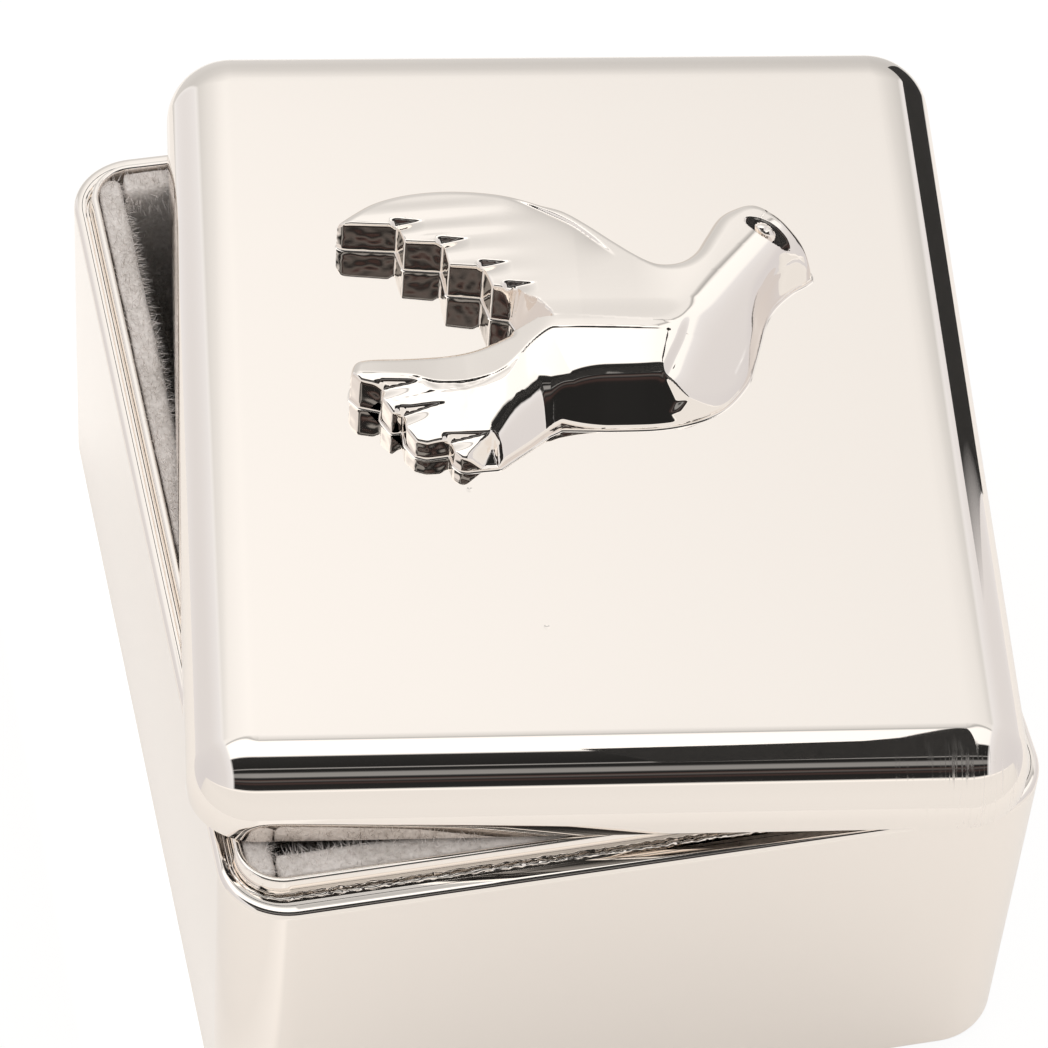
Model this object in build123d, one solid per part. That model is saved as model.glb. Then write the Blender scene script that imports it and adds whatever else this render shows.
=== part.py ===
from build123d import *

import math
import os

# Rosary box: a deep plated base lined with plush-covered boards, and a lift-off lid with a cast dove on it.
# Millimetres, +Z up. Origin: centre of the underside. X runs across the width, Y runs front (-) to back (+).

# ---- overall sizes ----
BOX_WIDTH = 57.0
BOX_DEPTH = 69.5
BASE_HEIGHT = 28.35
CORNER_RADIUS = 4.8

# ---- base shell ----
SHELL_WALL_SIDE = 0.55
SHELL_WALL_END = 0.85
SHELL_BOTTOM = 0.9
SHELL_FOOT_ROUND = 1.0
SHELL_TOP_ROUND = 0.5
PAD_THICKNESS = 0.8
PAD_MARGIN = 0.6

# ---- raised lip, set into the mouth of the shell ----
RING_CLEARANCE = 0.04
RING_DEPTH = 3.2
LIP_OUTER_SIDE = 1.0
LIP_OUTER_END = 1.62
LIP_INNER_SIDE = 1.75
LIP_INNER_END = 2.4
LIP_HEIGHT = 1.3
LIP_ROUND = 0.2
LIP_DRAFT = 12.0
GROOVE_WIDTH = 0.3
GROOVE_DEPTH = 0.2

# ---- lining ----
LINER_CLEARANCE = 0.15
SIDE_PANEL_END_GAP = 2.0
BOARD_THICKNESS = 1.0
SIDE_PLUSH = 0.8
END_PLUSH = 1.1
FLOOR_PLUSH = 1.3
LINER_DROP = 0.3
BOARD_POCKET_GAP = 0.04
PLUSH_ROUND = 0.45

# ---- lid ----
LID_HEIGHT = 5.6
LID_TOP_ROUND = 4.4
LID_WALL = 0.7
LID_EDGE_ROUND = 0.15
LID_REST_GAP = 0.02
LID_SHIFT_X = 3.03
LID_SHIFT_Y = 1.45
LID_TURN = -8.5
LID_BOARD = 0.8
LID_PLUSH = 1.1
LID_LINER_CLEARANCE = 0.2

# ---- dove casting, in the lid's own frame ----
WING_HEIGHT = 3.5
TAIL_HEIGHT = 3.1
TAIL_FRONT_HEIGHT = 0.9
TAIL_RIDGE_Y = -1.4
TAIL_FRONT_Y = -9.0
BODY_HEIGHT = 4.1
WING_ROUND = 1.3
TAIL_ROUND = 0.6
HEAD_HEIGHT = 4.2
NECK_HEIGHT = 3.9
THIGH_HEIGHT = 2.8
EYE_PLACE = (13.7, 11.7, 3.68)
EYE_RADIUS = 0.55
FEATHER_GROOVE_HALF_WIDTH = 0.35
FEATHER_GROOVE_DEPTH = 0.6
STUD_DIAMETER = 1.5
STUD_FIT = 0.05
STUD_REACH = 1.0
STUD_PLACES = [(-8.0, 13.2), (4.5, 1.6)]
RETAINER_DIAMETER = 4.2
RETAINER_THICKNESS = 0.35
RETAINER_COLLAR = 0.3
COLLAR_TIP_WALL = 0.3
COLLAR_ROOT_WALL = 0.65

shell_bottom_z = PAD_THICKNESS
ledge_z = shell_bottom_z + BASE_HEIGHT
lip_top_z = ledge_z + LIP_HEIGHT
cavity_floor_z = shell_bottom_z + SHELL_BOTTOM
lid_bottom_z = lip_top_z + LID_REST_GAP
lid_top_round = min(LID_TOP_ROUND, CORNER_RADIUS - 0.3, LID_HEIGHT - 0.3)


def rounded_slab(inset_x, inset_y, bottom, top, draft=0):
    """A slab of the box's outline, drawn in by the two insets, with its sides leaning in by the draft."""
    radius = max(CORNER_RADIUS - (inset_x + inset_y) / 2, 0.5)
    outline = RectangleRounded(BOX_WIDTH - 2 * inset_x, BOX_DEPTH - 2 * inset_y, radius)
    return extrude(Pos(0, 0, bottom) * outline, top - bottom, taper=draft)


def edges_at(solid, height):
    """The edges of a solid that lie flat at one height."""
    return solid.edges().filter_by_position(Axis.Z, height - 0.001, height + 0.001)


def base_shell():
    body = rounded_slab(0, 0, shell_bottom_z, ledge_z)
    body = fillet(edges_at(body, shell_bottom_z), SHELL_FOOT_ROUND)
    body = fillet(edges_at(body, ledge_z), SHELL_TOP_ROUND)
    hollow = rounded_slab(SHELL_WALL_SIDE, SHELL_WALL_END, cavity_floor_z, ledge_z + 1)
    return body - hollow


def underside_pad():
    inset = SHELL_FOOT_ROUND + PAD_MARGIN
    return rounded_slab(inset, inset, 0, PAD_THICKNESS)


def rim_ring():
    """The flat ledge flush with the shell, and the rounded lip that the lid locates on."""
    outer_side = SHELL_WALL_SIDE + RING_CLEARANCE
    outer_end = SHELL_WALL_END + RING_CLEARANCE
    ledge = rounded_slab(outer_side, outer_end, ledge_z - RING_DEPTH, ledge_z)
    groove = rounded_slab(LIP_OUTER_SIDE - GROOVE_WIDTH, LIP_OUTER_END - GROOVE_WIDTH,
                          ledge_z - GROOVE_DEPTH, ledge_z + 1)
    lip = rounded_slab(LIP_OUTER_SIDE, LIP_OUTER_END, ledge_z - GROOVE_DEPTH, lip_top_z, LIP_DRAFT)
    lip = fillet(edges_at(lip, lip_top_z), LIP_ROUND)
    mouth = rounded_slab(LIP_INNER_SIDE, LIP_INNER_END, ledge_z - RING_DEPTH - 1, lip_top_z + 1)
    ring = ledge - groove + lip - mouth
    lip_top = ring.faces().sort_by(Axis.Z)[-1]
    return fillet(lip_top.inner_wires()[0].edges(), LIP_ROUND)


def wall_panel(length, plush, height):
    """A board and its plush cover, standing on the XZ plane with the room side facing +Y."""
    board = Pos(0, BOARD_THICKNESS / 2, height / 2 - plush / 2)
    board *= Box(length - 2 * plush, BOARD_THICKNESS, height - plush)
    pocket = offset(board, BOARD_POCKET_GAP, kind=Kind.INTERSECTION)
    depth = BOARD_THICKNESS + plush
    cover = Pos(0, depth / 2, height / 2) * Box(length, depth, height)
    room_edges = cover.edges().filter_by(Axis.X).group_by(Axis.Y)[-1].group_by(Axis.Z)[-1]
    cover = fillet(room_edges, PLUSH_ROUND)
    return board, cover - pocket


def lining():
    """The wall panels, in the order they are pushed in, and the floor panel between them."""
    side_face = LIP_INNER_SIDE + LINER_CLEARANCE
    end_face = LIP_INNER_END + LINER_CLEARANCE
    side_depth = BOARD_THICKNESS + SIDE_PLUSH
    end_depth = BOARD_THICKNESS + END_PLUSH
    foot = cavity_floor_z + LINER_CLEARANCE
    height = lip_top_z - LINER_DROP - foot
    inner_width = BOX_WIDTH - 2 * side_face
    inner_depth = BOX_DEPTH - 2 * end_face
    side_length = inner_depth - 2 * SIDE_PANEL_END_GAP
    end_length = inner_width - 2 * (side_depth + LINER_CLEARANCE)

    places = {
        "left": Pos(-inner_width / 2, 0, foot) * Rot(0, 0, -90),
        "right": Pos(inner_width / 2, 0, foot) * Rot(0, 0, 90),
        "front": Pos(0, -inner_depth / 2, foot),
        "back": Pos(0, inner_depth / 2, foot) * Rot(0, 0, 180),
    }
    pieces = {}
    for name, place in places.items():
        is_side = name in ("left", "right")
        length = side_length if is_side else end_length
        plush = SIDE_PLUSH if is_side else END_PLUSH
        board, cover = wall_panel(length, plush, height)
        pieces[name + "_wall_board"] = place * board
        pieces[name + "_wall_plush"] = place * cover

    floor_width = inner_width - 2 * (side_depth + LINER_CLEARANCE)
    floor_depth = inner_depth - 2 * (end_depth + LINER_CLEARANCE)
    board = Pos(0, 0, foot + BOARD_THICKNESS / 2) * Box(floor_width, floor_depth, BOARD_THICKNESS)
    plush_z = foot + BOARD_THICKNESS + BOARD_POCKET_GAP + FLOOR_PLUSH / 2
    cover = Pos(0, 0, plush_z) * Box(floor_width, floor_depth, FLOOR_PLUSH)
    pieces["floor_board"] = board
    pieces["floor_plush"] = fillet(cover.edges().group_by(Axis.Z)[-1], PLUSH_ROUND)
    return pieces


def domed_slab(inset, height, top_round):
    """A slab of the box's outline standing at z = 0, with its top edge rounded right round."""
    slab = rounded_slab(inset, inset, 0, height)
    return fillet(edges_at(slab, height), top_round)


def lid_shell():
    outer = domed_slab(0, LID_HEIGHT, lid_top_round)
    outer = fillet(edges_at(outer, 0), LID_EDGE_ROUND)
    inner = domed_slab(LID_WALL, LID_HEIGHT - LID_WALL, lid_top_round - LID_WALL)
    hole = Cylinder(STUD_DIAMETER / 2 + STUD_FIT, LID_HEIGHT * 2)
    holes = [Pos(x, y, LID_HEIGHT) * hole for x, y in STUD_PLACES]
    return outer - inner - holes


def lid_inner_inset(height):
    """How far in from the box's outline the inside of the lid lies at one height above its edge."""
    round_radius = lid_top_round - LID_WALL
    rise = max(height - (LID_HEIGHT - lid_top_round), 0)
    return LID_WALL + round_radius - math.sqrt(round_radius**2 - rise**2)


def lid_lining():
    stud_end = LID_HEIGHT - LID_WALL - STUD_REACH
    board_top = stud_end - LINER_CLEARANCE
    board_bottom = board_top - LID_BOARD
    plush_top = board_bottom - BOARD_POCKET_GAP
    board_inset = lid_inner_inset(board_top) + LID_LINER_CLEARANCE
    plush_inset = lid_inner_inset(plush_top) + LID_LINER_CLEARANCE
    board = rounded_slab(board_inset, board_inset, board_bottom, board_top)
    plush = rounded_slab(plush_inset, plush_inset, plush_top - LID_PLUSH, plush_top)
    plush = fillet(edges_at(plush, plush_top - LID_PLUSH), PLUSH_ROUND)
    return {"lid_board": board, "lid_plush": plush}


def stud_retainers():
    """A push-on disc on the end of each stud, with a short collar that grips it."""
    top = LID_HEIGHT - LID_WALL
    bore = Cylinder(STUD_DIAMETER / 2 + STUD_FIT, LID_HEIGHT)
    disc = Pos(0, 0, top - RETAINER_THICKNESS / 2) * Cylinder(RETAINER_DIAMETER / 2, RETAINER_THICKNESS)
    collar_z = top - RETAINER_THICKNESS - RETAINER_COLLAR / 2
    stud_radius = STUD_DIAMETER / 2
    collar = Cone(stud_radius + COLLAR_TIP_WALL, stud_radius + COLLAR_ROOT_WALL, RETAINER_COLLAR)
    collar = Pos(0, 0, collar_z) * collar
    retainer = disc + collar - Pos(0, 0, top) * bore
    return Compound([Pos(x, y, 0) * retainer for x, y in STUD_PLACES])


# ---- the dove ----

# all the room above the lid's top face, where the casting's shapes keep only their upper halves
UPPER_HALF = Pos(0, 0, LID_HEIGHT) * Box(2 * BOX_WIDTH, 2 * BOX_DEPTH, 2 * LID_HEIGHT)


def flat_solid(outline_edges, height):
    """A plate standing on z = 0, from a closed run of edges."""
    return extrude(make_face(Wire(outline_edges)), height)


def arc_run(points, heading):
    """Arcs through a row of points, each tangent to the one before it."""
    direction = Vector(*heading)
    arcs = []
    for start, end in zip(points, points[1:]):
        arc = TangentArc(start, end, tangent=direction)
        direction = arc % 1
        arcs += arc.edges()
    return arcs


def dove_wing():
    """The raised wing: a swept leading edge, and four stepped flight feathers with square ends."""
    leading_points = [(8.4, 9.3), (5.4, 8.75), (3.2, 10.1), (-3.2, 15.0), (-9.0, 16.3), (-14.0, 15.5),
                      (-16.6, 12.9)]
    step_corners = [(-16.6, 12.9), (-12.3, 12.8), (-12.1, 11.1), (-9.3, 10.9), (-9.1, 8.8), (-6.6, 8.6),
                    (-6.4, 6.6), (-4.7, 6.4), (-3.2, 3.8), (2.0, 2.0), (8.4, 4.0), (8.4, 9.3)]
    leading = arc_run(leading_points, (-0.811, -0.585))
    wing = flat_solid(Polyline(*step_corners).edges() + leading, WING_HEIGHT)
    rounded = edges_at(wing, WING_HEIGHT).filter_by(GeomType.CIRCLE)
    return fillet(rounded, WING_ROUND)


def dove_tail():
    """The fanned tail: stepped feathers with square ends, sloping down to the front from a long ridge."""
    upper_edge = [(-2.6, 3.6), (-5.2, 2.35), (-9.2, 1.15), (-12.5, 0.7), (-15.4, 0.5), (-16.3, -0.2)]
    feather_ends = [(-16.4, -0.95), (-15.75, -1.7), (-14.2, -2.1), (-14.3, -2.95), (-13.6, -4.1),
                    (-12.85, -4.0), (-12.7, -5.2), (-12.05, -6.2), (-11.3, -6.45), (-9.7, -6.2), (-9.0, -7.5),
                    (-8.4, -7.6)]
    root = [(-6.2, -7.4), (-1.7, -3.9), (2.0, -2.0)]
    corners = upper_edge + feather_ends + root
    tail = flat_solid(Polyline(*corners, close=True).edges(), TAIL_HEIGHT)
    upper = [edge for edge in edges_at(tail, TAIL_HEIGHT) if edge.center().Y > 0.4 and edge.center().X < -4]
    tail = fillet(upper, TAIL_ROUND)
    above = TAIL_HEIGHT + 1
    slope = Polyline((TAIL_RIDGE_Y, TAIL_HEIGHT), (TAIL_FRONT_Y, TAIL_FRONT_HEIGHT), (TAIL_FRONT_Y, above),
                     (TAIL_RIDGE_Y, above), close=True)
    return tail - extrude(Plane.YZ * make_face(slope), 20, both=True)


def arched_section(place, heading, width, height):
    """An upright half ellipse across the bird's line, flat side down on the lid."""
    turn = math.radians(heading)
    plane = Plane(origin=(place[0], place[1], 0), x_dir=(math.sin(turn), -math.cos(turn), 0),
                  z_dir=(math.cos(turn), math.sin(turn), 0))
    ellipse = plane * Ellipse(width / 2, height)
    return ellipse & UPPER_HALF


def dove_body():
    """Breast, belly and rump, swept up towards the neck."""
    sections = [
        arched_section((-6.6, -2.4), 32, 5.2, 2.5),
        arched_section((-3.0, -0.5), 22, 6.6, 3.6),
        arched_section((2.0, 0.9), 14, 9.4, BODY_HEIGHT),
        arched_section((6.6, 2.4), 30, 10.8, BODY_HEIGHT),
        arched_section((9.0, 5.2), 58, 8.5, BODY_HEIGHT),
        arched_section((10.8, 8.4), 64, 6.9, BODY_HEIGHT),
        arched_section((12.3, 11.0), 66, 5.8, NECK_HEIGHT),
    ]
    return loft(sections)


def dove_thigh():
    """The folded leg: a low dome at the root of the tail, turned to the front right."""
    dome = scale(Sphere(1), by=(3.3, 1.9, THIGH_HEIGHT))
    return Pos(-4.9, -4.4, 0) * Rot(0, 0, 38) * dome & UPPER_HALF


def dove_head():
    """A rounded head, with a beak that droops forward to the lid."""
    skull = scale(Sphere(1), by=(3.9, 3.2, HEAD_HEIGHT))
    skull = Pos(13.0, 11.1, 0) * Rot(0, 0, -35) * skull & UPPER_HALF
    beak = loft([
        arched_section((13.4, 11.4), -30, 5.6, 3.8),
        arched_section((15.8, 10.5), -34, 3.6, 3.2),
        arched_section((17.2, 9.7), -34, 1.6, 2.3),
    ])
    return skull + beak


def tail_top(y):
    """Height of the tail's top surface at one place across it."""
    slope = (TAIL_HEIGHT - TAIL_FRONT_HEIGHT) / (TAIL_RIDGE_Y - TAIL_FRONT_Y)
    return TAIL_HEIGHT - slope * max(TAIL_RIDGE_Y - y, 0)


def feather_groove(start, end, top):
    """A V-shaped cut that runs back from a feather's end and fades out."""
    run = Vector(*end) - Vector(*start)
    heading = math.degrees(math.atan2(run.Y, run.X))
    notch = Wire.make_polygon([(0, -FEATHER_GROOVE_HALF_WIDTH, 0), (0, FEATHER_GROOVE_HALF_WIDTH, 0),
                               (0, 0, -FEATHER_GROOVE_DEPTH)])
    cutter = Solid.extrude(Face(notch), Vector(run.length, 0, 0))
    tilt = math.degrees(math.atan2(FEATHER_GROOVE_DEPTH, run.length))
    return Pos(start[0], start[1], top) * Rot(0, 0, heading) * Rot(0, -tilt, 0) * cutter


def dove():
    bird = dove_wing() + dove_tail() + dove_body() + dove_thigh() + dove_head()
    wing_grooves = [((-12.6, 12.9), (-8.6, 13.4)), ((-9.5, 11.0), (-5.5, 11.4)), ((-6.8, 8.6), (-2.8, 9.0))]
    tail_grooves = [((-14.5, -2.1), (-10.5, -1.6)), ((-13.1, -4.0), (-9.6, -3.2)),
                    ((-9.9, -6.2), (-7.6, -5.4))]
    for start, end in wing_grooves:
        bird -= feather_groove(start, end, WING_HEIGHT)
    for start, end in tail_grooves:
        bird -= feather_groove(start, end, tail_top(start[1]))
    bird += Pos(*EYE_PLACE) * Sphere(EYE_RADIUS)
    stud_length = LID_WALL + STUD_REACH + 1
    stud = Cylinder(STUD_DIAMETER / 2, stud_length, align=(Align.CENTER, Align.CENTER, Align.MAX))
    bird += [Pos(x, y, 1) * stud for x, y in STUD_PLACES]
    return Pos(0, 0, LID_HEIGHT) * bird


def build_all():
    pieces = {
        "base_shell": base_shell(),
        "rim_ring": rim_ring(),
        "underside_pad": underside_pad(),
    }
    pieces.update(lining())
    lid_pieces = {
        "lid_shell": lid_shell(),
        "dove_casting": dove(),
        "stud_retainers": stud_retainers(),
    }
    lid_pieces.update(lid_lining())
    lid_place = Pos(LID_SHIFT_X, LID_SHIFT_Y, lid_bottom_z) * Rot(0, 0, LID_TURN)
    for name, piece in lid_pieces.items():
        pieces[name] = lid_place * piece
    return pieces


os.makedirs("parts", exist_ok=True)
for node_name, solid in build_all().items():
    export_step(solid, "parts/" + node_name + ".step")
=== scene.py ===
import math

import bpy
import numpy as np
from mathutils import Matrix, Vector, noise
from mathutils.geometry import delaunay_2d_cdt


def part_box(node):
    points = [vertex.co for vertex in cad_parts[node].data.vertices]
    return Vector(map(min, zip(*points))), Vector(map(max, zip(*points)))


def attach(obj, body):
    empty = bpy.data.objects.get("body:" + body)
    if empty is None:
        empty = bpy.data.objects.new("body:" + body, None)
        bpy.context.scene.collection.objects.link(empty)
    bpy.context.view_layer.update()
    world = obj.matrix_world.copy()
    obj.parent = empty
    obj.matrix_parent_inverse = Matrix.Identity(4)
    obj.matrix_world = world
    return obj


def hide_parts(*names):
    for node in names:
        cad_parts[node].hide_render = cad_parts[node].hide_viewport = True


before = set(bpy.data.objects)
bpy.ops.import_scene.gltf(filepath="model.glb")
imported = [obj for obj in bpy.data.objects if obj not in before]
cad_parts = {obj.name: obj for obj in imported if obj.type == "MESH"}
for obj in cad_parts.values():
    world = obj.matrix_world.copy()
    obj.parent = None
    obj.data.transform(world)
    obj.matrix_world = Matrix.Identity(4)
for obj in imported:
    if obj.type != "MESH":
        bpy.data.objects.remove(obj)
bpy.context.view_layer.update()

# A rosary box: plated base with a raised lip, plush-covered boards, and a loose lid with a cast dove.
# Every length is in millimetres until it is scaled by MM into the frame's metres.
MM = 0.001

# ---- sizes read from the frame ----
base_low, base_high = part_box("base_shell")
ring_low, ring_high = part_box("rim_ring")
BOX_WIDTH = (base_high[0] - base_low[0]) / MM
BOX_DEPTH = (base_high[1] - base_low[1]) / MM
SHELL_BOTTOM_Z = base_low[2] / MM
LEDGE_Z = base_high[2] / MM
LIP_TOP_Z = ring_high[2] / MM
LID_LOW_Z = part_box("lid_shell")[0][2] / MM
LID_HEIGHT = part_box("lid_shell")[1][2] / MM - LID_LOW_Z

# ---- sizes shared with the construction ----
CORNER_RADIUS = 4.8
SHELL_WALL_SIDE = 0.55
SHELL_WALL_END = 0.85
SHELL_BOTTOM = 0.9
SHELL_FOOT_ROUND = 1.0
SHELL_TOP_ROUND = 0.5
LIP_OUTER_SIDE = 1.0
LIP_OUTER_END = 1.62
LIP_INNER_SIDE = 1.75
LIP_INNER_END = 2.4
LIP_ROUND = 0.2
LIP_DRAFT = math.radians(12)
RING_CLEARANCE = 0.04
RING_DEPTH = 3.2
GROOVE_WIDTH = 0.3
GROOVE_DEPTH = 0.2
SEAM_OFFSET = 0.16
SEAM_RADIUS = 0.13
SEAM_SINK = 0.02
SEAM_STEP = 0.12
LID_TOP_ROUND = 4.4
LID_WALL = 0.7
LID_EDGE_ROUND = 0.15
LID_SHIFT_X = 3.03
LID_SHIFT_Y = 1.45
LID_TURN = math.radians(-8.5)

# ---- camera ----
VIEW_AZIMUTH = math.radians(-16.15)
VIEW_ELEVATION = math.radians(50.78)
VIEW_ROLL = math.radians(5.10)
VIEW_DISTANCE = 353.1
VIEW_TARGET_Z = 40.8
VIEW_OFFSET_X = -1.69
VIEW_OFFSET_Y = -11.12
LENS_MM = 174.96
SENSOR_MM = 36.0


def lid_matrix():
    place = Matrix.Translation((LID_SHIFT_X * MM, LID_SHIFT_Y * MM, LID_LOW_Z * MM))
    return place @ Matrix.Rotation(LID_TURN, 4, "Z")


def make_object(name, vertices, faces, matrix=None, smooth=True, sharp_angle=30):
    """A mesh object from millimetre vertices, smooth except at edges sharper than an angle."""
    mesh = bpy.data.meshes.new(name)
    mesh.from_pydata([tuple(MM * c for c in v) for v in vertices], [], faces)
    if matrix is not None:
        mesh.transform(matrix)
    mesh.update()
    if smooth:
        mesh.polygons.foreach_set("use_smooth", [True] * len(mesh.polygons))
        mesh.set_sharp_from_angle(angle=math.radians(sharp_angle))
    obj = bpy.data.objects.new(name, mesh)
    bpy.context.scene.collection.objects.link(obj)
    return obj


def weighted_normals(obj):
    modifier = obj.modifiers.new("weighted_normals", "WEIGHTED_NORMAL")
    modifier.mode = "FACE_AREA"
    modifier.keep_sharp = True
    modifier.weight = 50


# ---- shells that follow the box's outline ----

CORNER_STEPS = 20


def outline(inset_side, inset_end):
    """Points round the box's outline, drawn in by two insets, with rounded corners."""
    half_x = BOX_WIDTH / 2 - inset_side
    half_y = BOX_DEPTH / 2 - inset_end
    radius = max(CORNER_RADIUS - (inset_side + inset_end) / 2, 0.05)
    points = []
    for quarter, (sx, sy) in enumerate([(1, 1), (-1, 1), (-1, -1), (1, -1)]):
        for step in range(CORNER_STEPS + 1):
            angle = math.pi / 2 * (quarter + step / CORNER_STEPS)
            x = sx * (half_x - radius) + radius * math.cos(angle)
            y = sy * (half_y - radius) + radius * math.sin(angle)
            points.append((x, y))
    return points


def arc_profile(center, radius, start, end, steps):
    """Points on an arc in the (inset, height) plane, by angles in degrees; inset grows to the right."""
    points = []
    for step in range(steps + 1):
        angle = math.radians(start + (end - start) * step / steps)
        points.append((center[0] + radius * math.cos(angle), center[1] + radius * math.sin(angle)))
    return points


def ring_stack(name, profile, matrix=None, closed=False):
    """A skin through outline rings. Each profile point is (side inset, end inset, height)."""
    vertices = []
    for inset_side, inset_end, height in profile:
        vertices += [(x, y, height) for x, y in outline(inset_side, inset_end)]
    count = 4 * (CORNER_STEPS + 1)
    faces = []
    rings = len(profile)
    for ring in range(rings if closed else rings - 1):
        upper = (ring + 1) % rings
        for i in range(count):
            j = (i + 1) % count
            faces.append((ring * count + i, ring * count + j, upper * count + j, upper * count + i))
    if not closed:
        faces.append(tuple(reversed(range(count))))
        faces.append(tuple((rings - 1) * count + i for i in range(count)))
    obj = make_object(name, vertices, faces, matrix)
    weighted_normals(obj)
    return obj


def same(points):
    """Profile points whose side and end insets are equal."""
    return [(inset, inset, height) for inset, height in points]


def build_lid_shell():
    """The pressed lid: skirt, full round over the top edge, and the same shape inside."""
    edge, wall, top = LID_EDGE_ROUND, LID_WALL, LID_TOP_ROUND
    outer = [(top + 0.4, LID_HEIGHT)] + arc_profile((top, LID_HEIGHT - top), top, 90, 180, 28)
    outer += arc_profile((edge, edge), edge, 180, 270, 4)
    inner_top = LID_HEIGHT - wall
    inner = [(wall - 0.05, 0), (wall, 0.05)]
    inner += arc_profile((top, LID_HEIGHT - top), top - wall, 180, 90, 14)
    inner += [(top + 0.4, inner_top)]
    profile = same(outer + inner)
    lid = ring_stack("lid_shell_skin", profile, lid_matrix())
    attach(lid, "lid")
    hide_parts("lid_shell")
    return lid


def build_base_shell():
    """The deep base: rounded foot, straight walls, rounded top edge, and the inside down to its floor."""
    foot, top_round = SHELL_FOOT_ROUND, SHELL_TOP_ROUND
    outer = [(foot + 0.4, SHELL_BOTTOM_Z)]
    outer += arc_profile((foot, SHELL_BOTTOM_Z + foot), foot, 270, 180, 10)
    outer += arc_profile((top_round, LEDGE_Z - top_round), top_round, 180, 90, 10)
    floor_z = SHELL_BOTTOM_Z + SHELL_BOTTOM
    inner = [(SHELL_WALL_SIDE, SHELL_WALL_END, LEDGE_Z), (SHELL_WALL_SIDE, SHELL_WALL_END, floor_z)]
    base = ring_stack("base_shell_skin", same(outer) + inner)
    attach(base, "base")
    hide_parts("base_shell")
    return base


def build_rim_ring():
    """The ledge ring with its rounded lip."""
    side, end = SHELL_WALL_SIDE + RING_CLEARANCE, SHELL_WALL_END + RING_CLEARANCE
    bottom = LEDGE_Z - RING_DEPTH
    groove_side, groove_end = LIP_OUTER_SIDE - GROOVE_WIDTH, LIP_OUTER_END - GROOVE_WIDTH
    profile = [(side, end, bottom), (side, end, LEDGE_Z), (groove_side, groove_end, LEDGE_Z)]
    profile += [(groove_side, groove_end, LEDGE_Z - GROOVE_DEPTH),
                (LIP_OUTER_SIDE, LIP_OUTER_END, LEDGE_Z - GROOVE_DEPTH)]
    lean = (LIP_TOP_Z - LEDGE_Z + GROOVE_DEPTH) * math.tan(LIP_DRAFT)
    round_start = lean + LIP_ROUND * math.tan((math.pi / 2 - LIP_DRAFT) / 2)
    for turn, height in arc_profile((round_start, LIP_TOP_Z - LIP_ROUND), LIP_ROUND, 168, 90, 8):
        profile.append((LIP_OUTER_SIDE + turn, LIP_OUTER_END + turn, height))
    for turn, height in arc_profile((-LIP_ROUND, LIP_TOP_Z - LIP_ROUND), LIP_ROUND, 90, 0, 8):
        profile.append((LIP_INNER_SIDE + turn, LIP_INNER_END + turn, height))
    profile += [(LIP_INNER_SIDE, LIP_INNER_END, bottom)]
    ring = ring_stack("rim_ring_skin", profile, closed=True)
    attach(ring, "base")
    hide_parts("rim_ring")
    return ring


def dense_line(points, step):
    """Points about every step along a closed line."""
    dense = []
    for a, b in zip(points, points[1:] + points[:1]):
        count = max(int(round(math.dist(a, b) / step)), 1)
        dense += [(a[0] + (b[0] - a[0]) * i / count, a[1] + (b[1] - a[1]) * i / count) for i in range(count)]
    return np.array(dense)


def build_solder_seam():
    """The rough bead of solder where the lip stands on the ledge, fuller along the front and back."""
    rows = [(SEAM_RADIUS * math.cos(math.radians(a)), SEAM_RADIUS * math.sin(math.radians(a)))
            for a in range(0, 181, 20)]
    line = dense_line(outline(LIP_OUTER_SIDE - SEAM_OFFSET, LIP_OUTER_END - SEAM_OFFSET), SEAM_STEP)
    vertices, faces = [], []
    ahead = np.roll(line, -1, axis=0) - np.roll(line, 1, axis=0)
    ahead /= np.linalg.norm(ahead, axis=1)[:, None]
    for place, run in zip(line, ahead):
        middle = Vector((place[0], place[1], 0))
        out = Vector((run[1], -run[0], 0))
        size = 0.25 + 0.75 * abs(run[0])
        for across, up in rows:
            point = middle + out * across
            swell = size * (1 + size * noise.noise(Vector((point.x * 2.3, point.y * 2.3, up * 6))))
            edge = middle + out * across * swell
            vertices.append((edge.x, edge.y, LEDGE_Z - SEAM_SINK + up * swell))
    count, width = len(line), len(rows)
    for i in range(count):
        after = (i + 1) % count
        for k in range(width - 1):
            faces.append((i * width + k, after * width + k, after * width + k + 1, i * width + k + 1))
        faces.append((i * width, i * width + width - 1, after * width + width - 1, after * width))
    seam = make_object("solder_seam", vertices, faces, sharp_angle=60)
    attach(seam, "base")
    return seam


# ---- the dove, in the lid's own frame, as heights above the lid's top ----

# its outline, from the beak's tip round by the head, the wing, the tail and the breast
DOVE_BACK = [(17.25, 9.7), (17.2, 10.25), (16.75, 11.05), (15.9, 11.95), (14.6, 13.1), (13.1, 13.95),
             (11.8, 13.95), (10.5, 13.1), (9.4, 11.3), (8.5, 9.8), (7.3, 8.85), (5.9, 8.65), (4.5, 9.2),
             (2.9, 10.6), (0.95, 12.5), (-0.75, 13.9), (-3.1, 15.25), (-5.5, 16.1), (-8.7, 16.5),
             (-11.8, 16.25), (-14.3, 15.4), (-16.1, 14.0), (-16.72, 13.45)]
WING_STEPS = [(-16.3, 13.15), (-12.5, 12.85), (-12.05, 11.15), (-9.35, 10.9), (-9.05, 8.65), (-6.6, 8.35),
              (-6.1, 6.45), (-4.7, 6.15)]
DOVE_NOTCH = [(-4.3, 5.3), (-3.5, 4.1), (-3.1, 3.5), (-3.7, 3.15)]
TAIL_BACK = [(-5.2, 2.35), (-6.9, 1.75), (-9.2, 1.15), (-12.5, 0.72), (-15.3, 0.5), (-16.15, 0.05),
             (-16.4, -0.9)]
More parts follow.
